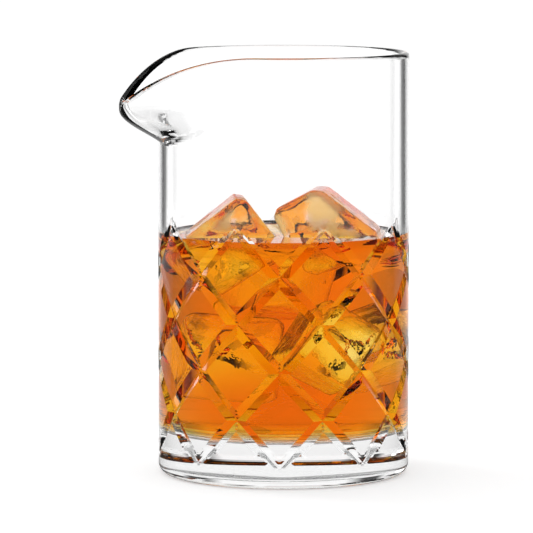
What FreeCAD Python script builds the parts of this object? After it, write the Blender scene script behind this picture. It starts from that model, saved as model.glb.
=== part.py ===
import FreeCAD, Part
import math
import os

import Sketcher
from FreeCAD import Vector

# A stirring glass for cocktails: a straight tumbler with a thick foot and a drawn pouring
# spout, a band of crossing V-cuts on its wall, and in it the drink and the ice.
# Origin: centre of the foot, on the surface it stands on. +Z up. The spout points along -X.

doc = FreeCAD.newDocument("mixing_glass")
sheet = doc.addObject("Spreadsheet::Sheet", "sizes")

# Lengths are in millimetres and angles in degrees.
SIZES = (
    # the blown wall and the solid foot
    ("outer_radius", 45.0),
    ("vessel_height", 151.5),
    ("wall", 3.0),
    ("base_thickness", 15.5),
    ("floor_radius", 5.0),
    ("heel_radius", 3.8),
    ("rim_chamfer", 0.9),
    # the spout: how far its nose centre stands out of the wall, and the nose's own radius
    ("spout_projection", 9.5),
    ("spout_nose", 6.5),
    # the lip: how far back from the tip it starts to fall, and how far it falls
    ("dip_length", 39.0),
    ("dip_depth", 18.6),
    # below the lip's tip: its upright edge, how tall the swelling is, and how much the channel lags
    ("lip_edge", 0.9),
    ("spout_flare", 13.0),
    ("channel_lift", 3.4),
    # the cut band
    ("cut_count", 9),
    ("cut_rows", 5),
    ("cut_row_height", 16.9),
    ("cut_foot_height", 7.3),
    ("cut_depth", 1.3),
    ("cut_half_width", 2.3),
    ("cut_phase", 10.0),
    # the contents
    ("drink_level", 87.0),
    ("meniscus", 1.2),
    ("ice_chamfer", 2.4),
)

# The ice is packed to the bore, so its lengths and its place are shares of the bore's radius.
# Each block: length, width and thickness, and how far its broken end splays out below; its
# centre's bearing, distance from the axis and rise above the drink's surface; its yaw, pitch, roll.
ICE_FIELDS = (
    "length", "width", "thick", "splay", "bearing", "away", "rise", "yaw", "pitch", "roll"
)
ICE = (
    ("ice_spout_side", (0.648, 0.619, 0.619, 0.0, 171.3, 0.442, -0.098, -14.0, -38.0, 0.0)),
    ("ice_handle_side", (0.452, 0.619, 0.619, 0.288, -30.8, 0.269, 0.026, -26.0, -28.0, 0.0)),
    ("ice_back", (0.500, 0.500, 0.548, 0.0, 77.6, 0.490, -0.452, -42.0, -3.0, -24.0)),
    ("ice_front_low", (0.595, 0.595, 0.595, 0.0, -71.6, 0.562, -0.929, -4.0, 33.0, -15.0)),
    ("ice_right_low", (0.571, 0.571, 0.571, 0.0, 16.0, 0.575, -1.012, -16.0, -25.0, -20.0)),
    ("ice_left_low", (0.595, 0.571, 0.595, 0.0, 125.8, 0.383, -1.083, -22.0, 4.0, -41.0)),
)

OVER = 1.0  # how far a cutting tool runs past what it cuts
START_STEP = 0.02  # how far the nose already stands out where the swelling begins
FLARE_LEVELS = 4  # outlines above the first one in each swelling
CORNER_STEPS = 3  # straight steps that stand for a round corner of a turned profile


def fill_sheet(rows):
    for number, (name, value) in enumerate(rows, start=1):
        sheet.set(f"A{number}", name)
        sheet.set(f"B{number}", str(value))
        sheet.setAlias(f"B{number}", name)
    doc.recompute()


ice_rows = [
    (f"{name}_{field}", value)
    for name, values in ICE
    for field, value in zip(ICE_FIELDS, values)
]
fill_sheet(list(SIZES) + ice_rows)


def size(name):
    return float(getattr(sheet, name))


# Expressions that several sub-parts share.
WALL_OUT = "sizes.outer_radius"
WALL_IN = "(sizes.outer_radius - sizes.wall)"
NOSE_OUT = "sizes.spout_nose"
NOSE_IN = "(sizes.spout_nose - sizes.wall)"
REACH = "(sizes.outer_radius + sizes.spout_projection)"
FLARE_TOP = "(sizes.vessel_height - sizes.dip_depth - sizes.lip_edge)"
FLARE_FOOT = f"({FLARE_TOP} - sizes.spout_flare)"
CHANNEL_FOOT = f"({FLARE_FOOT} + sizes.channel_lift)"
CHANNEL_TOP = f"({FLARE_TOP} + {OVER})"


# ---------------------------------------------------------------- sketches


def sketch_on(body, name, role, height=None):
    sketch = body.newObject("Sketcher::SketchObject", name)
    plane = next(feature for feature in body.Origin.OriginFeatures if feature.Role == role)
    sketch.AttachmentSupport = [(plane, "")]
    sketch.MapMode = "FlatFace"
    if height:
        sketch.setExpression("AttachmentOffset.Base.z", height)
    return sketch


def bind(sketch, expression, kind, *where):
    """Adds a constraint whose value is the expression."""
    value = float(sketch.evalExpression(expression))
    index = sketch.addConstraint(Sketcher.Constraint(kind, *where, value))
    sketch.setExpression(f"Constraints[{index}]", expression)


def polygon(sketch, corners):
    """A closed outline of straight lines. A corner is a pair of expressions, or 0 on an axis."""
    values = [
        Vector(*(float(sketch.evalExpression(str(part))) for part in corner), 0)
        for corner in corners
    ]
    count = len(values)
    for i in range(count):
        sketch.addGeometry(Part.LineSegment(values[i], values[(i + 1) % count]), False)
    for i in range(count):
        sketch.addConstraint(Sketcher.Constraint("Coincident", i, 2, (i + 1) % count, 1))
    for i, (across, up) in enumerate(corners):
        if across == 0:
            sketch.addConstraint(Sketcher.Constraint("PointOnObject", i, 1, -2))
        else:
            bind(sketch, across, "DistanceX", -1, 1, i, 1)
        if up == 0:
            sketch.addConstraint(Sketcher.Constraint("PointOnObject", i, 1, -1))
        else:
            bind(sketch, up, "DistanceY", -1, 1, i, 1)


def spout_outline(body, name, radius, nose, reach, height):
    """The wall seen from above: a large arc, a small nose and the two straight flanks between them."""
    sketch = sketch_on(body, name, "XY_Plane", height)
    big, small, out = (float(sketch.evalExpression(text)) for text in (radius, nose, reach))
    lean = math.acos((big - small) / out)
    up = Vector(0, 0, 1)

    def on_circle(centre, circle_radius, side):
        shift = Vector(-circle_radius * math.cos(lean), side * circle_radius * math.sin(lean), 0)
        return centre + shift

    middle, tip = Vector(0, 0, 0), Vector(-out, 0, 0)
    body_arc = Part.ArcOfCircle(Part.Circle(middle, up, big), lean - math.pi, math.pi - lean)
    nose_arc = Part.ArcOfCircle(Part.Circle(tip, up, small), math.pi - lean, math.pi + lean)
    wall = sketch.addGeometry(body_arc, False)
    left = sketch.addGeometry(
        Part.LineSegment(on_circle(middle, big, 1), on_circle(tip, small, 1)), False
    )
    nose_curve = sketch.addGeometry(nose_arc, False)
    right = sketch.addGeometry(
        Part.LineSegment(on_circle(tip, small, -1), on_circle(middle, big, -1)), False
    )
    make = Sketcher.Constraint
    sketch.addConstraint(
        [
            make("Coincident", wall, 3, -1, 1),
            make("PointOnObject", nose_curve, 3, -1),
            make("Tangent", wall, 2, left, 1),
            make("Tangent", left, 2, nose_curve, 1),
            make("Tangent", nose_curve, 2, right, 1),
            make("Tangent", right, 2, wall, 1),
        ]
    )
    bind(sketch, radius, "Radius", wall)
    bind(sketch, nose, "Radius", nose_curve)
    bind(sketch, reach, "Distance", -1, 1, nose_curve, 3)
    return sketch


# ---------------------------------------------------------------- features


def turned(body, corners):
    """A round solid from an outline in the XZ plane."""
    profile = sketch_on(body, f"{body.Name}_profile", "XZ_Plane")
    polygon(profile, corners)
    feature = body.newObject("PartDesign::Revolution", f"{body.Name}_turned")
    feature.Profile = profile
    feature.ReferenceAxis = (profile, ["V_Axis"])
    feature.Angle = 360
    doc.recompute()
    return feature


def round_corner(across, up, radius):
    """The corner between a level bottom and an upright wall, from the bottom to the wall."""
    angles = [90 * step / CORNER_STEPS for step in range(CORNER_STEPS + 1)]
    return [
        (f"{across} - {radius} * (1 - sin({angle}))", f"{up} + {radius} * (1 - cos({angle}))")
        for angle in angles
    ]


def swell_and_collar(body, radius, nose, foot, top, end):
    """The round form swells towards -X into the spout from foot to top, then goes straight up to end."""
    levels = []
    for level in range(FLARE_LEVELS + 1):
        part = 1 - (1 - level / FLARE_LEVELS) ** 1.5  # closer together where the underside turns up
        share = math.sin(math.pi / 2 * part) ** 1.3  # leaves the wall gently and ends upright
        start = f"({radius} - {nose} + {START_STEP})"
        reach = f"{start} + ({REACH} - {start}) * {share!r}"
        height = f"{foot} + ({top} - {foot}) * {part!r}"
        levels.append(spout_outline(body, f"{body.Name}_level_{level}", radius, nose, reach, height))
    doc.recompute()
    swelling = body.newObject("PartDesign::AdditiveLoft", f"{body.Name}_swelling")
    swelling.Profile = levels[0]
    swelling.Sections = levels[1:]
    swelling.Ruled = True
    doc.recompute()
    collar = body.newObject("PartDesign::Pad", f"{body.Name}_collar")
    collar.Profile = spout_outline(body, f"{body.Name}_outline", radius, nose, REACH, top)
    collar.setExpression("Length", f"{end} - {top}")
    body.Tip = collar
    doc.recompute()


# ---------------------------------------------------------------- the glass


def glass_form():
    """The outside of the glass, solid."""
    body = doc.addObject("PartDesign::Body", "glass_form")
    heel = round_corner(WALL_OUT, "0", "sizes.heel_radius")
    turned(body, [(0, 0)] + heel + [(WALL_OUT, FLARE_FOOT), (0, FLARE_FOOT)])
    swell_and_collar(body, WALL_OUT, NOSE_OUT, FLARE_FOOT, FLARE_TOP, "sizes.vessel_height")
    return body


def floor_profile():
    """The inside of the glass from the middle of its floor to the wall."""
    floor = "sizes.base_thickness"
    return [(0, floor)] + round_corner(WALL_IN, floor, "sizes.floor_radius")


def bore_form():
    """The hollow of the glass, as a solid. The same nose, less the wall, makes the pouring channel."""
    body = doc.addObject("PartDesign::Body", "bore_form")
    turned(body, floor_profile() + [(WALL_IN, CHANNEL_FOOT), (0, CHANNEL_FOOT)])
    end = f"(sizes.vessel_height + {OVER})"
    swell_and_collar(body, WALL_IN, NOSE_IN, CHANNEL_FOOT, CHANNEL_TOP, end)
    return body


def lip_cutter():
    """What is sheared off above the spout: a block less a drum, so that the lip falls on an arc."""
    tip = f"({REACH} + {NOSE_OUT})"
    start = f"({tip} - sizes.dip_length)"
    arc = "((sizes.dip_length^2 + sizes.dip_depth^2) / (2 * sizes.dip_depth))"
    width = f"(2 * {WALL_OUT} + 2 * {OVER})"
    block = doc.addObject("Part::Box", "lip_block")
    block.setExpression("Length", f"sizes.dip_length + {OVER}")
    block.setExpression("Width", width)
    block.setExpression("Height", f"sizes.dip_depth + 2 * {OVER}")
    block.setExpression("Placement.Base.x", f"-{tip} - {OVER}")
    block.setExpression("Placement.Base.y", f"-{width} / 2")
    block.setExpression("Placement.Base.z", f"sizes.vessel_height - sizes.dip_depth - {OVER}")
    drum = doc.addObject("Part::Cylinder", "lip_drum")
    drum.Placement.Rotation = FreeCAD.Rotation(Vector(1, 0, 0), 90)
    drum.setExpression("Radius", arc)
    drum.setExpression("Height", f"{width} + 2 * {OVER}")
    drum.setExpression("Placement.Base.x", f"-{start}")
    drum.setExpression("Placement.Base.y", f"{width} / 2 + {OVER}")
    drum.setExpression("Placement.Base.z", f"sizes.vessel_height - {arc}")
    return boolean("Part::Cut", "lip_cutter", block, drum)


def boolean(kind, name, base, tool):
    result = doc.addObject(kind, name)
    result.Base = base
    result.Tool = tool
    doc.recompute()
    return result


def softened_rim(base):
    """Takes the edges off the rim, inside and outside, along the level part and down the lip."""
    top = size("vessel_height")

    def is_rim(face):
        level = isinstance(face.Surface, Part.Plane) and abs(face.BoundBox.ZMin - top) < 1e-6
        sheared = isinstance(face.Surface, Part.Cylinder) and abs(face.Surface.Axis.y) > 0.99
        return level or sheared

    around = [edge for face in base.Shape.Faces if is_rim(face) for edge in face.Edges]
    outline = [edge for edge in around if sum(edge.isSame(other) for other in around) == 1]
    numbers = [
        number
        for number, edge in enumerate(base.Shape.Edges, start=1)
        if any(edge.isSame(other) for other in outline)
    ]
    width = min(size("rim_chamfer"), 0.45 * size("wall"))
    chamfer = doc.addObject("Part::Chamfer", "rim")
    chamfer.Base = base
    chamfer.Edges = [(number, width, width) for number in numbers]
    doc.recompute()
    return chamfer


def cutting_wheel(name, left_handed):
    """The V-cuts of one hand: the same wedge along cut_count helices."""
    radius, depth = size("outer_radius"), size("cut_depth")
    rise = size("cut_rows") * size("cut_row_height")
    pitch = 2 * size("cut_count") * size("cut_row_height")
    valley = radius - depth
    spread = size("cut_half_width") * (depth + OVER) / depth
    slope = math.atan2(pitch, 2 * math.pi * valley)
    turn = -1 if left_handed else 1
    across = Vector(0, -turn * math.sin(slope), math.cos(slope))
    bottom = Vector(valley, 0, 0)
    surface = Vector(radius + OVER, 0, 0)
    wedge = Part.makePolygon([bottom, surface + across * spread, surface - across * spread, bottom])
    helix = Part.makeHelix(pitch, rise, valley, 0, left_handed)
    cut = Part.Wire(helix.Edges).makePipeShell([wedge], True, True)
    cut.translate(Vector(0, 0, size("cut_foot_height")))
    cuts = []
    for number in range(int(size("cut_count"))):
        copy = cut.copy()
        bearing = size("cut_phase") + number * 360 / size("cut_count")
        copy.rotate(Vector(0, 0, 0), Vector(0, 0, 1), bearing)
        cuts.append(copy)
    wheel = doc.addObject("Part::Feature", name)
    wheel.Shape = Part.Compound(cuts)
    return wheel


def glass_vessel():
    hollow = boolean("Part::Cut", "hollowed", glass_form(), bore_form())
    lipped = boolean("Part::Cut", "lipped", hollow, lip_cutter())
    rim = softened_rim(lipped)
    half_cut = boolean("Part::Cut", "cut_one_way", rim, cutting_wheel("cuts_right", False))
    return boolean("Part::Cut", "glass_vessel", half_cut, cutting_wheel("cuts_left", True))


# ---------------------------------------------------------------- the contents


def ice_block(name):
    """A block of ice with melted edges, placed from the axis and from the drink's surface."""

    def share(field):
        return f"{WALL_IN} * sizes.{name}_{field}"

    body = doc.addObject("PartDesign::Body", name)
    sketch = sketch_on(body, f"{name}_outline", "XZ_Plane")
    end, top = f"{share('length')} / 2", f"{share('thick')} / 2"
    broken_end = f"{end} + {share('splay')}"
    polygon(
        sketch,
        [(f"-{end}", f"-{top}"), (broken_end, f"-{top}"), (end, top), (f"-{end}", top)],
    )
    pad = body.newObject("PartDesign::Pad", f"{name}_pad")
    pad.Profile = sketch
    pad.Midplane = True
    pad.setExpression("Length", share("width"))
    doc.recompute()
    chamfer = body.newObject("PartDesign::Chamfer", f"{name}_melt")
    chamfer.Base = (pad, [f"Edge{number + 1}" for number in range(len(pad.Shape.Edges))])
    chamfer.setExpression("Size", "sizes.ice_chamfer")
    body.setExpression("Placement.Base.x", f"{share('away')} * cos(sizes.{name}_bearing)")
    body.setExpression("Placement.Base.y", f"{share('away')} * sin(sizes.{name}_bearing)")
    body.setExpression("Placement.Base.z", f"sizes.drink_level + {share('rise')}")
    turn = (size(f"{name}_{field}") for field in ("yaw", "pitch", "roll"))
    body.Placement.Rotation = FreeCAD.Rotation(*turn)
    doc.recompute()
    return body


def drink(ice):
    """The drink fills the bore to its level, climbs the wall a little and gives way to the ice."""
    body = doc.addObject("PartDesign::Body", "drink_form")
    surface = [
        (WALL_IN, "sizes.drink_level + sizes.meniscus"),
        (f"{WALL_IN} - 2 * sizes.meniscus", "sizes.drink_level"),
        (0, "sizes.drink_level"),
    ]
    turned(body, floor_profile() + surface)
    group = doc.addObject("Part::Compound", "all_ice")
    group.Links = ice
    doc.recompute()
    return boolean("Part::Cut", "drink", body, group)


# ---------------------------------------------------------------- make, check and write

ice_blocks = [ice_block(name) for name, _ in ICE]
nodes = [glass_vessel(), drink(ice_blocks)] + ice_blocks
doc.recompute()

for item in doc.Objects:
    if "Invalid" in item.State or "Error" in item.State:
        raise RuntimeError(f"{item.Name} failed: {item.State}")
for node in nodes:
    node.Label = node.Name
    if node.Shape.isNull() or not node.Shape.isValid() or len(node.Shape.Solids) != 1:
        raise RuntimeError(f"{node.Label} is not one valid solid")

os.makedirs("parts", exist_ok=True)
for node in nodes:
    node.Shape.exportStep(f"parts/{node.Label}.step")
    print(f"{node.Label}: {node.Shape.Volume / 1000:.2f} cm3, {len(node.Shape.Faces)} faces")
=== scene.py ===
import math
from functools import partial

import bmesh
import bpy
from mathutils import Matrix, Vector


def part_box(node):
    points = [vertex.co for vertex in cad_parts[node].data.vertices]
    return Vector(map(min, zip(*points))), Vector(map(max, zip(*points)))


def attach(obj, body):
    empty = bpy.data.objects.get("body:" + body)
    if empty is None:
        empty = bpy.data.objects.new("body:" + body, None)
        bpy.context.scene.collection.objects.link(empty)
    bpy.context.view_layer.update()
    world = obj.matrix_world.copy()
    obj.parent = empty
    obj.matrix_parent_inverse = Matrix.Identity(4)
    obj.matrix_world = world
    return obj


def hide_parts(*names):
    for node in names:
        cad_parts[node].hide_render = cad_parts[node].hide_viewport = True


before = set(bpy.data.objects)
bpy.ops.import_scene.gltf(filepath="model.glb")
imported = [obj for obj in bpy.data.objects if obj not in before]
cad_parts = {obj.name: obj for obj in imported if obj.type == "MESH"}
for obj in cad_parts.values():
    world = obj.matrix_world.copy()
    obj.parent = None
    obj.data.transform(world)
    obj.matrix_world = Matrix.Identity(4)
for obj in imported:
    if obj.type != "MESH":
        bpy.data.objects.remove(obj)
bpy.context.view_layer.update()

# A stirring glass with its drink and ice. Metres; +Z up; the spout points along -X.

MM = 0.001

vessel_low, vessel_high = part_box("glass_vessel")
drink_low, drink_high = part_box("drink")

# The glass, read from the solids where they give it.
RADIUS = vessel_high.x
HEIGHT = vessel_high.z
TIP = -vessel_low.x
BORE = drink_high.x
WALL = RADIUS - BORE
FLOOR = drink_low.z

HEEL = 3.8 * MM
FLOOR_ROUND = 5.0 * MM
NOSE = 6.5 * MM
REACH = TIP - NOSE
FLARE_FOOT = HEIGHT - 32.5 * MM
FLARE_TOP = FLARE_FOOT + 13.0 * MM
FLARE_SHAPE = 1.3  # above 1, the wall swells out slowly at first
FLARE_START = 0.02 * MM  # how far the nose already stands out below the swelling
CHANNEL_LIFT = 3.4 * MM  # how much higher the swelling starts inside than outside
CHANNEL_TOP_LIFT = 1.0 * MM  # and how much higher it ends
DIP_LENGTH = 39.0 * MM
DIP_DEPTH = 18.6 * MM

# The cut band.
CUTS = 9
ROWS = 5
ROW_HEIGHT = 16.9 * MM
CUT_FOOT = 7.3 * MM
CUT_DEPTH = 1.3 * MM
CUT_BEARING = math.radians(10.0)
CUT_RUN_OUT = 7.0 * MM

# The drink's surface: its flat part lies below the edge that climbs the wall.
MENISCUS = 0.8 * MM
MENISCUS_WIDTH = 1.6 * MM
LEVEL = drink_high.z - 2.0 * MM

# Where the two proud blocks of ice are milky with trapped air: place and reach in mm.
MILKY_PLACES = (((5.7, -14.5, 96.0), 9.0), ((-12.5, -6.3, 94.0), 6.0))

# Liquid reaches into glass and ice into liquid by this much, so that light meets one interface.
OVERLAP = 0.08 * MM

# How finely the glass is drawn.
CELL_STEPS = 26  # mesh rows in one row of the cut band, and columns from cut to cut
COLUMNS = CUTS * CELL_STEPS
CUT_LINES = 3  # mesh lines on each side of a cut's valley
BAND_MARGIN = 6  # mesh rows past each end of the band that keep its pattern
ROUND_STEPS = 8  # steps in a quarter circle
RIM_STEPS = 12  # steps in the half circle over the rim
LIP_STEPS = 26  # rings from the swelling's foot to the rim
SLIDE_RINGS = 40  # rings over which the columns slide together towards the spout
SLIDE = 0.7  # 0 leaves them evenly spaced, and 1 would close the gaps at the spout
MERGE = 1e-6  # points or bearings nearer than this count as one

# The studio is laid out along this bearing, in metres from the glass, and the camera looks along it.
VIEW_BEARING = math.radians(-18.0)
BESIDE_GLASS = 0.1
# Where the painted dark flags begin on the floor; only rays through or off the glass see them.
AT_PAINTED_FLAGS = 0.95
FLOOR_HALF = 6.0
CAMERA_PLACE = (-0.0061, -1.495, 0.234)
CAMERA_DIP = math.radians(6.10)
LENS = 282.7


# ---------------------------------------------------------------- small helpers


def colour(code):
    """An sRGB hex colour as linear red, green, blue and alpha."""
    parts = [int(code[i : i + 2], 16) / 255 for i in (1, 3, 5)]
    linear = [part / 12.92 if part <= 0.04045 else ((part + 0.055) / 1.055) ** 2.4 for part in parts]
    return (*linear, 1.0)


def node(tree, kind, inputs=(), **settings):
    """Adds a node. inputs holds, by place or by name, values or the nodes or sockets that feed it."""
    made = tree.nodes.new(kind)
    for name, value in settings.items():
        setattr(made, name, value)
    for key, value in inputs.items() if isinstance(inputs, dict) else enumerate(inputs):
        if isinstance(value, bpy.types.Node):
            value = value.outputs[0]
        if isinstance(value, bpy.types.NodeSocket):
            tree.links.new(value, made.inputs[key])
        else:
            made.inputs[key].default_value = value
    return made


def smooth(value):
    value = max(0.0, min(1.0, value))
    return value * value * (3 - 2 * value)


def new_piece(name, vertices, faces, material=None):
    mesh = bpy.data.meshes.new(name)
    mesh.from_pydata(vertices, [], faces)
    mesh.validate()
    piece = bpy.data.objects.new(name, mesh)
    bpy.context.scene.collection.objects.link(piece)
    if material:
        mesh.materials.append(material)
    return piece


def shade_smooth(piece):
    piece.data.polygons.foreach_set("use_smooth", [True] * len(piece.data.polygons))


def apply_modifiers(piece):
    """Turns the piece with its modifiers into a plain mesh."""
    bpy.context.view_layer.update()
    graph = bpy.context.evaluated_depsgraph_get()
    mesh = bpy.data.meshes.new_from_object(piece.evaluated_get(graph), depsgraph=graph)
    piece.modifiers.clear()
    old = piece.data
    piece.data = mesh
    bpy.data.meshes.remove(old)
    mesh.name = piece.name


# ---------------------------------------------------------------- materials


def new_material(name):
    material = bpy.data.materials.new(name)
    material.use_nodes = True
    material.node_tree.nodes.clear()
    return material


def soda_lime_glass():
    """Pressed soda-lime glass, fire-polished: water clear, with a faint waviness left by the mould.
    Where the drink wets its inside, the wall mirrors almost nothing."""
    material = new_material("soda_lime_glass_pressed")
    add = partial(node, material.node_tree)
    place = add("ShaderNodeTexCoord").outputs["Object"]
    waves = add("ShaderNodeTexNoise", {"Vector": place, "Scale": 45.0, "Detail": 1.0})
    bump = add("ShaderNodeBump", {"Height": waves, "Strength": 0.1, "Distance": 0.1 * MM})
    x, y, z = add("ShaderNodeSeparateXYZ", [place]).outputs
    flat = add("ShaderNodeCombineXYZ", [x, y, 0.0])
    away = add("ShaderNodeVectorMath", [flat], operation="LENGTH").outputs["Value"]
    inside = add("ShaderNodeMath", [away, BORE + WALL / 3], operation="LESS_THAN")
    under_surface = add("ShaderNodeMath", [z, LEVEL], operation="LESS_THAN")
    over_floor = add("ShaderNodeMath", [z, FLOOR - 1.0 * MM], operation="GREATER_THAN")
    filled = add("ShaderNodeMath", [under_surface, over_floor], operation="MULTIPLY")
    wet = add("ShaderNodeMath", [inside, filled], operation="MULTIPLY")
    mirror = add(
        "ShaderNodeMix",
        {"Factor": wet, 6: colour("#FFFFFF"), 7: colour("#000000")},
        data_type="RGBA",
    )
    shader = add(
        "ShaderNodeBsdfPrincipled",
        {
            "Base Color": colour("#FFFFFF"),
            "Roughness": 0.0,
            "IOR": 1.5,
            "Transmission Weight": 1.0,
            "Specular Tint": mirror.outputs[2],
            "Normal": bump,
        },
    )
    add("ShaderNodeOutputMaterial", {"Surface": shader})
    return material


def whisky():
    """A brown spirit let down with meltwater: clear, yellow where thin and orange to red where deep."""
    material = new_material("whisky_drink_clear_amber")
    add = partial(node, material.node_tree)
    shader = add(
        "ShaderNodeBsdfPrincipled",
        {
            "Base Color": colour("#FFFFFF"),
            "Roughness": 0.0,
            "IOR": 1.36,
            "Transmission Weight": 1.0,
            "Specular Tint": colour("#404040"),
        },
    )
    depth = add("ShaderNodeVolumeAbsorption", {"Color": colour("#FDE822"), "Density": 125.0})
    add("ShaderNodeOutputMaterial", {"Surface": shader, "Volume": depth})
    return material


def clear_ice():
    """Slow-frozen ice, wet and melting: clear, with rippled faces and a few frosted patches. What
    stands out of the drink is painted amber where it is clear, a painted glow for the light that
    comes up through the drink, and it is milky where its trapped air shows."""
    material = new_material("ice_clear_wet")
    add = partial(node, material.node_tree)
    place = add("ShaderNodeTexCoord").outputs["Object"]
    ripples = add("ShaderNodeTexNoise", {"Vector": place, "Scale": 160.0, "Detail": 3.0})
    bump = add("ShaderNodeBump", {"Height": ripples, "Strength": 0.4, "Distance": 1.0 * MM})
    cloud = add("ShaderNodeTexNoise", {"Vector": place, "Scale": 75.0, "Detail": 4.0})
    for middle, reach in MILKY_PLACES:
        gap = add("ShaderNodeVectorMath", [place, Vector(middle) * MM], operation="DISTANCE")
        near = add("ShaderNodeMapRange", [gap.outputs["Value"], 0.0, reach * MM, 0.18, 0.0])
        cloud = add("ShaderNodeMath", [cloud, near], operation="ADD")
    frost = add("ShaderNodeMapRange", [cloud, 0.52, 0.64, 0.0, 1.0])
    height = add("ShaderNodeSeparateXYZ", [place]).outputs["Z"]
    proud = add("ShaderNodeMapRange", [height, LEVEL - 1.0 * MM, LEVEL + 1.5 * MM, 0.0, 1.0])
    bare = add("ShaderNodeMath", [1.0, frost], operation="SUBTRACT")
    # Painted light: clear ice above the drink is tinted amber, standing in for light from the drink
    # below.
    painted_drink_light = add("ShaderNodeMath", [proud, bare], operation="MULTIPLY")
    tint = add(
        "ShaderNodeMix",
        {"Factor": painted_drink_light, 6: colour("#FFFFFF"), 7: colour("#F7A236")},
        data_type="RGBA",
    )
    roughest = add("ShaderNodeMapRange", [proud, 0.0, 1.0, 0.1, 0.45])
    roughness = add("ShaderNodeMath", [frost, roughest], operation="MULTIPLY")
    milky = add("ShaderNodeMath", [proud, frost], operation="MULTIPLY")
    clear = add("ShaderNodeMapRange", [milky, 0.0, 1.0, 1.0, 0.9])
    mirror = add(
        "ShaderNodeMix",
        {"Factor": proud, 6: colour("#202020"), 7: colour("#909090")},
        data_type="RGBA",
    )
    shader = add(
        "ShaderNodeBsdfPrincipled",
        {
            "Base Color": tint.outputs[2],
            "Roughness": roughness,
            "IOR": 1.31,
            "Transmission Weight": clear,
            "Specular Tint": mirror.outputs[2],
            "Normal": bump,
        },
    )
    add("ShaderNodeOutputMaterial", {"Surface": shader})
    return material


# ---------------------------------------------------------------- the glass


def spout_reach(height, foot, top, start):
    """How far out the nose's centre lies: it swells from the wall and then stands upright."""
    part = max(0.0, min(1.0, (height - foot) / (top - foot)))
    return start + (REACH - start) * math.sin(math.pi / 2 * part) ** FLARE_SHAPE


def outline_distance(bearing, reach, radius, nose):
    """From the axis to the wall, by bearing from the spout: nose, straight flank or round wall."""
    bearing = abs(bearing)
    lean = math.acos(min(1.0, (radius - nose) / reach))
    end_of_nose = math.atan2(nose * math.sin(lean), reach + nose * math.cos(lean))
    if bearing <= end_of_nose:
        return reach * math.cos(bearing) + math.sqrt(nose**2 - (reach * math.sin(bearing)) ** 2)
    if bearing < lean:
        return radius / math.cos(lean - bearing)
    return radius


def rim_height(along_spout):
    """The lip falls on an arc that is level where it leaves the rim."""
    arc = (DIP_LENGTH**2 + DIP_DEPTH**2) / (2 * DIP_DEPTH)
    past = max(0.0, along_spout - (TIP - DIP_LENGTH))
    return HEIGHT - (arc - math.sqrt(arc**2 - past**2))


def glass_rings():
    """The glass as rings: from the middle of its foot, up the outside, over the rim, to its floor.

    A ring is a list of (bearing from the spout, distance from the axis, height). In the cut band
    every second ring is turned by half a column, so that mesh edges lie along the cuts.
    """
    step = 2 * math.pi / COLUMNS
    first = (CUT_BEARING - math.pi) % step
    row_step = ROW_HEIGHT / CELL_STEPS
    rows_in_band = ROWS * CELL_STEPS
    band_top = CUT_FOOT + (rows_in_band + BAND_MARGIN) * row_step
    inner_nose = NOSE - WALL
    half_wall = WALL / 2
    channel_foot = FLARE_FOOT + CHANNEL_LIFT
    channel_top = FLARE_TOP + CHANNEL_TOP_LIFT
    well_top = FLOOR + FLOOR_ROUND

    def bearing(index, slide=0.0, half=0.0):
        """Evenly spaced for a slide of 0; for a slide of 1 the columns crowd towards the spout."""
        even = (index + half - COLUMNS // 2) * step + first
        return even - SLIDE * smooth(slide) * math.sin(even)

    def plain(distance, height, slide=0.0, half=0.0):
        return [(bearing(i, slide, half), distance, height) for i in range(COLUMNS)]

    def start(radius, nose):
        return radius - nose + FLARE_START

    def outside(angle, height):
        reach = spout_reach(height, FLARE_FOOT, FLARE_TOP, start(RADIUS, NOSE))
        return outline_distance(angle, reach, RADIUS, NOSE)

    def inside(angle, height):
        reach = spout_reach(height, channel_foot, channel_top, start(BORE, inner_nose))
        return outline_distance(angle, reach, BORE, inner_nose)

    rings = []
    for turn in range(ROUND_STEPS + 1):
        angle = math.pi / 2 * turn / ROUND_STEPS
        rings.append(plain(RADIUS - HEEL + HEEL * math.sin(angle), HEEL - HEEL * math.cos(angle)))
    for row in range(-BAND_MARGIN, rows_in_band + BAND_MARGIN + 1):
        rings.append(plain(RADIUS, CUT_FOOT + row * row_step, half=0.5 * (row % 2)))
    for part in range(1, SLIDE_RINGS):
        share = part / SLIDE_RINGS
        rings.append(plain(RADIUS, band_top + (FLARE_FOOT - band_top) * share, share))

    angles = [bearing(i, 1.0) for i in range(COLUMNS)]
    tops = []
    for angle in angles:
        middle = outline_distance(angle, REACH, RADIUS - half_wall, NOSE - half_wall)
        tops.append(rim_height(middle * math.cos(angle)) - half_wall)
    for level in range(LIP_STEPS + 1):
        ring = []
        for angle, top in zip(angles, tops):
            height = FLARE_FOOT + (top - FLARE_FOOT) * level / LIP_STEPS
            ring.append((angle, outside(angle, height), height))
        rings.append(ring)
    for turn in range(1, RIM_STEPS):
        swing = math.pi * turn / RIM_STEPS
        ring = []
        for angle, top in zip(angles, tops):
            out, into = outside(angle, top), inside(angle, top)
            distance = (out + into) / 2 + (out - into) / 2 * math.cos(swing)
            ring.append((angle, distance, top + half_wall * math.sin(swing)))
        rings.append(ring)
    for level in range(LIP_STEPS, -1, -1):
        ring = []
        for angle, top in zip(angles, tops):
            height = channel_foot + (top - channel_foot) * level / LIP_STEPS
            ring.append((angle, inside(angle, height), height))
        rings.append(ring)
    for part in range(1, SLIDE_RINGS):
        share = part / SLIDE_RINGS
        rings.append(plain(BORE, channel_foot + (well_top - channel_foot) * share, 1.0 - share))
    for turn in range(ROUND_STEPS + 1):
        angle = math.pi / 2 * turn / ROUND_STEPS
        distance = BORE - FLOOR_ROUND + FLOOR_ROUND * math.cos(angle)
        rings.append(plain(distance, well_top - FLOOR_ROUND * math.sin(angle)))
    return rings


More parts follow.
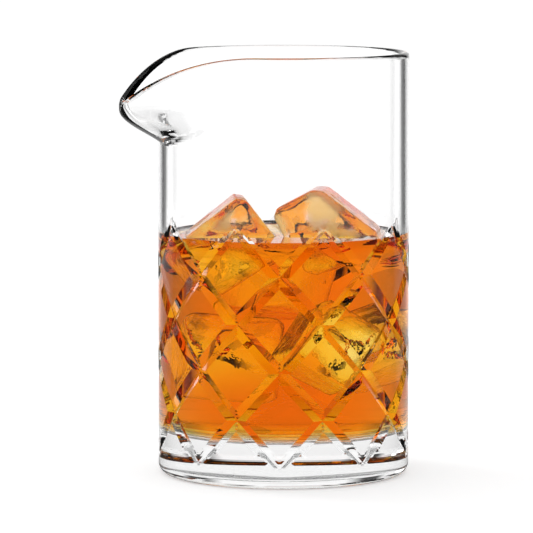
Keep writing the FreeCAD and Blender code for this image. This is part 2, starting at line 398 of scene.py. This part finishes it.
def rings_to_mesh(name, rings, low, high):
    """Joins the rings, and closes the first and last one on the axis at heights low and high."""
    vertices = [
        (-distance * math.cos(angle), -distance * math.sin(angle), height)
        for ring in rings
        for angle, distance, height in ring
    ]
    count = len(rings[0])
    faces = []
    for number in range(len(rings) - 1):
        below, above = number * count, (number + 1) * count
        turned_below = rings[number][0][0] > rings[number + 1][0][0] + MERGE
        turned_above = rings[number + 1][0][0] > rings[number][0][0] + MERGE
        for i in range(count):
            j = (i + 1) % count
            a, b, c, d = below + i, below + j, above + j, above + i
            if turned_above:
                faces += [(a, b, d), (d, b, c)]
            elif turned_below:
                faces += [(a, c, d), (a, b, c)]
            else:
                faces.append((a, b, c, d))
    first_pole, last_pole = len(vertices), len(vertices) + 1
    vertices += [(0.0, 0.0, low), (0.0, 0.0, high)]
    last = (len(rings) - 1) * count
    for i in range(count):
        j = (i + 1) % count
        faces.append((first_pole, j, i))
        faces.append((last_pole, last + i, last + j))
    return new_piece(name, vertices, faces)


def v_cut_tree():
    """Presses V-cuts into a round wall along two crossing families of helices."""
    tree = bpy.data.node_groups.new("v_cuts", "GeometryNodeTree")
    sockets = (
        ("Geometry", "NodeSocketGeometry"),
        ("Cuts around", "NodeSocketFloat"),
        ("Rows", "NodeSocketFloat"),
        ("Row height", "NodeSocketFloat"),
        ("Foot height", "NodeSocketFloat"),
        ("First bearing", "NodeSocketFloat"),
        ("Depth", "NodeSocketFloat"),
        ("Half width", "NodeSocketFloat"),
        ("Spacing", "NodeSocketFloat"),
        ("Run-out", "NodeSocketFloat"),
        ("Wall radius", "NodeSocketFloat"),
        ("Glass", "NodeSocketMaterial"),
    )
    for name, kind in sockets:
        tree.interface.new_socket(name, in_out="INPUT", socket_type=kind)
    tree.interface.new_socket("Geometry", in_out="OUTPUT", socket_type="NodeSocketGeometry")
    add = partial(node, tree)
    given = add("NodeGroupInput").outputs
    x, y, z = add("ShaderNodeSeparateXYZ", [add("GeometryNodeInputPosition")]).outputs
    flat = add("ShaderNodeCombineXYZ", [x, y, 0.0])
    away = add("ShaderNodeVectorMath", [flat], operation="LENGTH").outputs["Value"]

    # Where a point lies: cuts passed on the way round, and pairs of rows climbed.
    angle = add("ShaderNodeMath", [y, x], operation="ARCTAN2")
    bearing = add("ShaderNodeMath", [angle, given["First bearing"]], operation="SUBTRACT")
    turns = add("ShaderNodeMath", [bearing, 2 * math.pi], operation="DIVIDE")
    around = add("ShaderNodeMath", [turns, given["Cuts around"]], operation="MULTIPLY")
    up = add("ShaderNodeMath", [z, given["Foot height"]], operation="SUBTRACT")
    pair = add("ShaderNodeMath", [given["Row height"], 2.0], operation="MULTIPLY")
    climb = add("ShaderNodeMath", [up, pair], operation="DIVIDE")

    # How far it is to the nearest valley of either hand.
    sum_of_both = add("ShaderNodeMath", [climb, around], operation="ADD")
    difference = add("ShaderNodeMath", [climb, around], operation="SUBTRACT")
    right = add("ShaderNodeMath", [sum_of_both, 0.5], operation="PINGPONG")
    left = add("ShaderNodeMath", [difference, 0.5], operation="PINGPONG")
    nearest = add("ShaderNodeMath", [right, left], operation="MINIMUM")
    to_valley = add("ShaderNodeMath", [nearest, given["Spacing"]], operation="MULTIPLY")

    # The cuts run out towards both ends of the band.
    band = add("ShaderNodeMath", [given["Rows"], given["Row height"]], operation="MULTIPLY")
    to_top = add("ShaderNodeMath", [band, up], operation="SUBTRACT")
    to_end = add("ShaderNodeMath", [up, to_top], operation="MINIMUM")
    fade = add("ShaderNodeMath", [to_end, given["Run-out"]], operation="DIVIDE", use_clamp=True)

    flank = add("ShaderNodeMath", [to_valley, given["Half width"]], operation="DIVIDE")
    share = add("ShaderNodeMath", [fade, flank], operation="SUBTRACT", use_clamp=True)
    depth = add("ShaderNodeMath", [share, given["Depth"]], operation="MULTIPLY")
    inward = add("ShaderNodeMath", [depth, away], operation="DIVIDE")
    press = add("ShaderNodeMath", [inward, -1.0], operation="MULTIPLY")
    offset = add("ShaderNodeVectorMath", {0: flat, "Scale": press}, operation="SCALE")
    under_skin = add("ShaderNodeMath", [given["Wall radius"], 0.97], operation="MULTIPLY")
    outside = add("ShaderNodeMath", [away, under_skin], operation="GREATER_THAN")
    cut = add(
        "GeometryNodeSetPosition",
        {"Geometry": given["Geometry"], "Selection": outside, "Offset": offset},
    )

    # Sharp edges stay sharp and the rest is smooth.
    edge = add("GeometryNodeInputMeshEdgeAngle").outputs["Unsigned Angle"]
    crease = add("ShaderNodeMath", [edge, math.radians(9.0)], operation="GREATER_THAN")
    rounded = add(
        "GeometryNodeSetShadeSmooth", {"Geometry": cut, "Shade Smooth": True}, domain="FACE"
    )
    creased = add(
        "GeometryNodeSetShadeSmooth",
        {"Geometry": rounded, "Selection": crease, "Shade Smooth": False},
        domain="EDGE",
    )
    real = add("GeometryNodeRealizeInstances", [creased])
    coated = add("GeometryNodeSetMaterial", {"Geometry": real, "Material": given["Glass"]})
    add("NodeGroupOutput", [coated])
    return tree


def run_tree(piece, tree, values):
    """Runs a Geometry Nodes tree on the piece, with its named inputs, and keeps the plain mesh."""
    modifier = piece.modifiers.new(tree.name, "NODES")
    modifier.node_group = tree
    for item in tree.interface.items_tree:
        if item.in_out == "INPUT" and item.name in values:
            modifier[item.identifier] = values[item.name]
    apply_modifiers(piece)


def mixing_glass(glass):
    piece = rings_to_mesh("stirring_glass", glass_rings(), 0.0, FLOOR)
    half_cell = math.pi * RADIUS / CUTS
    spacing = 2 * half_cell * ROW_HEIGHT / math.hypot(half_cell, ROW_HEIGHT)
    run_tree(
        piece,
        v_cut_tree(),
        {
            "Cuts around": float(CUTS),
            "Rows": float(ROWS),
            "Row height": ROW_HEIGHT,
            "Foot height": CUT_FOOT,
            "First bearing": CUT_BEARING,
            "Depth": CUT_DEPTH,
            "Half width": spacing * CUT_LINES / CELL_STEPS,
            "Spacing": spacing,
            "Run-out": CUT_RUN_OUT,
            "Wall radius": RADIUS,
            "Glass": glass,
        },
    )
    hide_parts("glass_vessel")
    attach(piece, "root")
    return piece


# ---------------------------------------------------------------- ice and drink


def melted_block(node_name, ice):
    """A block of ice where its solid lies, with corners rounded by melting."""
    name = node_name + "_melted"
    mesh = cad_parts[node_name].data.copy()
    mesh.name = name
    mesh.materials.clear()
    piece = bpy.data.objects.new(name, mesh)
    bpy.context.scene.collection.objects.link(piece)
    sheet = bmesh.new()
    sheet.from_mesh(mesh)
    bmesh.ops.remove_doubles(sheet, verts=sheet.verts, dist=MERGE)
    sheet.to_mesh(mesh)
    sheet.free()
    remesh = piece.modifiers.new("even", "REMESH")
    remesh.mode = "VOXEL"
    remesh.voxel_size = 0.8 * MM
    soften = piece.modifiers.new("soften", "SMOOTH")
    soften.factor = 0.5
    soften.iterations = 6
    apply_modifiers(piece)
    shade_smooth(piece)
    piece.data.materials.append(ice)
    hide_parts(node_name)
    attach(piece, "root")
    return piece


def drink_rings():
    """The drink as rings: out along the floor, up the wall and in over the meniscus."""
    columns = 180
    climb_steps = 8
    surface_steps = 12
    wall = BORE + OVERLAP
    floor_round = FLOOR_ROUND + OVERLAP
    profile = []
    for turn in range(ROUND_STEPS + 1):
        angle = math.pi / 2 * turn / ROUND_STEPS
        distance = wall - floor_round + floor_round * math.sin(angle)
        profile.append((distance, FLOOR - OVERLAP + floor_round * (1 - math.cos(angle))))
    top = LEVEL + MENISCUS
    low = profile[-1][1]
    for part in range(1, climb_steps + 1):
        profile.append((wall, low + (top - low) * part / climb_steps))
    for part in range(1, surface_steps + 1):
        inward = 4 * MENISCUS_WIDTH * (part / surface_steps) ** 1.5
        profile.append((wall - inward, LEVEL + MENISCUS * math.exp(-inward / MENISCUS_WIDTH)))
    return [
        [(2 * math.pi * i / columns, distance, height) for i in range(columns)]
        for distance, height in profile
    ]


def drink_round_ice(liquid, blocks):
    """The drink, with a cavity for each block that is a little smaller than the block."""
    piece = rings_to_mesh("whisky", drink_rings(), FLOOR - OVERLAP, LEVEL)
    for block in blocks:
        cavity = block.copy()
        cavity.data = block.data.copy()
        cavity.name = "cavity"
        bpy.context.scene.collection.objects.link(cavity)
        for vertex in cavity.data.vertices:
            vertex.co -= vertex.normal * OVERLAP
        cut = piece.modifiers.new("cavity", "BOOLEAN")
        cut.operation = "DIFFERENCE"
        cut.solver = "EXACT"
        cut.object = cavity
        apply_modifiers(piece)
        bpy.data.objects.remove(cavity)
    shade_smooth(piece)
    piece.data.materials.clear()
    piece.data.materials.append(liquid)
    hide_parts("drink")
    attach(piece, "root")
    return piece


# ---------------------------------------------------------------- studio


def kinds_of_ray(tree):
    """1 or 0 for a ray from the camera, for one that met glass, and for one mirrored outside it."""
    path = node(tree, "ShaderNodeLightPath").outputs
    glossy, passed = path["Is Glossy Ray"], path["Is Transmission Ray"]
    by_glass = node(tree, "ShaderNodeMath", [glossy, passed], operation="MAXIMUM")
    mirrored = node(tree, "ShaderNodeMath", [glossy, passed], operation="GREATER_THAN")
    return path["Is Camera Ray"], by_glass, mirrored


def surroundings(tree, way, mirrored, near=None):
    """How bright it is around the glass, by bearing from the line that the studio is laid out on.

    White paper stands all round. Two narrow dark bands far off are painted flags, with nothing
    standing there, that draw the glass's edges; nearer, the paper is painted dimmer towards them.
    These are painted shade and painted reflection, met only by rays through or off the glass. What
    the outside of the glass mirrors from in front is painted dim. near runs from 0 beside the glass
    to 1 at the painted flags.
    """
    add = partial(node, tree)
    right = (math.cos(VIEW_BEARING), math.sin(VIEW_BEARING), 0.0)
    forward = (-math.sin(VIEW_BEARING), math.cos(VIEW_BEARING), 0.0)
    across = add("ShaderNodeVectorMath", [way, right], operation="DOT_PRODUCT").outputs["Value"]
    ahead = add("ShaderNodeVectorMath", [way, forward], operation="DOT_PRODUCT").outputs["Value"]
    angle = add("ShaderNodeMath", [across, ahead], operation="ARCTAN2")
    degrees = add("ShaderNodeMath", [angle], operation="DEGREES")
    bearing = add("ShaderNodeMath", [degrees], operation="ABSOLUTE")
    # Painted reflection: dark bands at these bearings stand in for flags that are not there.
    before_painted_flag = add("ShaderNodeMapRange", [bearing, 20.0, 28.0, 1.0, 0.04])
    past_painted_flag = add("ShaderNodeMapRange", [bearing, 36.0, 42.0, 0.0, 1.0])
    behind = add("ShaderNodeMath", [before_painted_flag, past_painted_flag], operation="MAXIMUM")
    if near is not None:
        # Painted shade: on the floor seen through the glass, the paper near the foot is dimmed, and
        # more so towards the painted flags.
        paper = add("ShaderNodeMapRange", [bearing, 9.0, 45.0, 0.86, 0.3])
        off_foot = add("ShaderNodeMapRange", [near, 0.0, 0.2, 0.0, 1.0])
        paper = add("ShaderNodeMix", {"Factor": off_foot, "A": 0.82, "B": paper})
        far = add("ShaderNodeMapRange", [near, 0.85, 1.0, 0.0, 1.0])
        behind = add("ShaderNodeMix", {"Factor": far, "A": paper, "B": behind})
    in_front = add("ShaderNodeMapRange", [bearing, 52.0, 62.0, 0.0, 1.0])
    level = add("ShaderNodeMath", [behind, in_front], operation="MAXIMUM")
    mirrored_front = add("ShaderNodeMath", [mirrored, in_front], operation="MULTIPLY")
    dim = add("ShaderNodeMapRange", [mirrored_front, 0.0, 1.0, 1.0, 0.08])
    return add("ShaderNodeMath", [level, dim], operation="MULTIPLY")


def white_floor():
    """A sweep of white paper that shows white to the eye and keeps its shadow; through and off the
    glass it shows the painted flags and painted shade of the surroundings.
    """
    material = new_material("paper_sweep_white")
    tree = material.node_tree
    add = partial(node, tree)
    by_camera, by_glass, mirrored = kinds_of_ray(tree)
    place = add("ShaderNodeTexCoord").outputs["Object"]
    radius = add("ShaderNodeVectorMath", [place], operation="LENGTH").outputs["Value"]
    near = add("ShaderNodeMapRange", [radius, BESIDE_GLASS, AT_PAINTED_FLAGS, 0.0, 1.0])
    around = surroundings(tree, place, mirrored, near)
    # Through and off the glass the floor shows the painted flags and painted shade; to the eye it stays
    # white.
    level = add("ShaderNodeMix", {"Factor": by_glass, "A": 1.0, "B": around})
    tone = add(
        "ShaderNodeMix",
        {"Factor": level, 6: colour("#000000"), 7: colour("#E8E8E8")},
        data_type="RGBA",
    )
    paper = add("ShaderNodeBsdfDiffuse", {"Color": tone.outputs[2]})
    seen = add("ShaderNodeMath", [by_camera, by_glass], operation="MAXIMUM")
    shown = add("ShaderNodeMath", [seen, level], operation="MULTIPLY")
    glow_strength = add("ShaderNodeMapRange", [by_glass, 0.0, 1.0, 0.5, 0.58])
    lift = add("ShaderNodeMath", [shown, glow_strength], operation="MULTIPLY")
    glow = add("ShaderNodeEmission", {"Color": colour("#FFFFFF"), "Strength": lift})
    both = add("ShaderNodeAddShader", [paper, glow])
    add("ShaderNodeOutputMaterial", {"Surface": both})
    half = FLOOR_HALF
    corners = [(-half, -half, 0), (half, -half, 0), (half, half, 0), (-half, half, 0)]
    floor = new_piece("floor", corners, [(0, 1, 2, 3)], material)


def soft_box(name, bearing, distance, height, size, power):
    """A rectangular lamp that points at the middle of the glass."""
    lamp = bpy.data.lights.new(name, "AREA")
    lamp.shape = "RECTANGLE"
    lamp.size, lamp.size_y = size
    lamp.energy = power
    stand = bpy.data.objects.new(name, lamp)
    bpy.context.scene.collection.objects.link(stand)
    place = Matrix.Rotation(bearing, 4, "Z") @ Vector((0, distance, height))
    stand.location = place
    aim = Vector((0, 0, HEIGHT / 2)) - place
    stand.rotation_euler = aim.to_track_quat("-Z", "Y").to_euler()


def room():
    """An even white room for the eye and for light; through and off the glass it shows a painted dim
    ceiling and the painted dark flags.
    """
    world = bpy.data.worlds.new("studio")
    bpy.context.scene.world = world
    world.use_nodes = True
    tree = world.node_tree
    tree.nodes.clear()
    add = partial(node, tree)
    by_camera, by_glass, mirrored = kinds_of_ray(tree)
    way = add("ShaderNodeTexCoord").outputs["Generated"]
    height = add("ShaderNodeSeparateXYZ", [way]).outputs["Z"]
    # Painted reflection: the top of the room is dim only for rays through or off the glass.
    painted_ceiling = add("ShaderNodeMapRange", [height, 0.18, 0.5, 1.0, 0.1])
    around = surroundings(tree, way, mirrored)
    in_glass = add("ShaderNodeMath", [painted_ceiling, around], operation="MULTIPLY")
    light = add("ShaderNodeMapRange", [by_camera, 0.0, 1.0, 0.65, 1.0])
    strength = add("ShaderNodeMix", {"Factor": by_glass, "A": light, "B": in_glass})
    sky = add("ShaderNodeBackground", {"Color": colour("#FFFFFF"), "Strength": strength})
    add("ShaderNodeOutputWorld", {"Surface": sky})


def studio():
    white_floor()
    room()
    soft_box("strip_left", VIEW_BEARING + math.radians(58), 0.9, 0.5, (0.27, 0.9), 2.2)
    soft_box("top", VIEW_BEARING, 0.1, 1.2, (0.8, 0.8), 1.0)
    bpy.context.scene.view_settings.view_transform = "Standard"


def camera():
    """A long lens, a little above the rim, that looks down on the glass slightly."""
    lens = bpy.data.cameras.new("camera")
    lens.sensor_width = 36.0
    lens.lens = LENS
    lens.clip_end = 50.0
    stand = bpy.data.objects.new("camera", lens)
    bpy.context.scene.collection.objects.link(stand)
    stand.location = Matrix.Rotation(VIEW_BEARING, 4, "Z") @ Vector(CAMERA_PLACE)
    stand.rotation_euler = (math.radians(90) - CAMERA_DIP, 0.0, VIEW_BEARING)
    bpy.context.scene.camera = stand


# ---------------------------------------------------------------- put it together

mixing_glass(soda_lime_glass())
ice = clear_ice()
ice_nodes = sorted(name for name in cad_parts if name.startswith("ice_"))
blocks = [melted_block(name, ice) for name in ice_nodes]
drink_round_ice(whisky(), blocks)
studio()
camera()
bpy.context.scene.cycles.max_bounces = 32
bpy.context.scene.cycles.transmission_bounces = 32
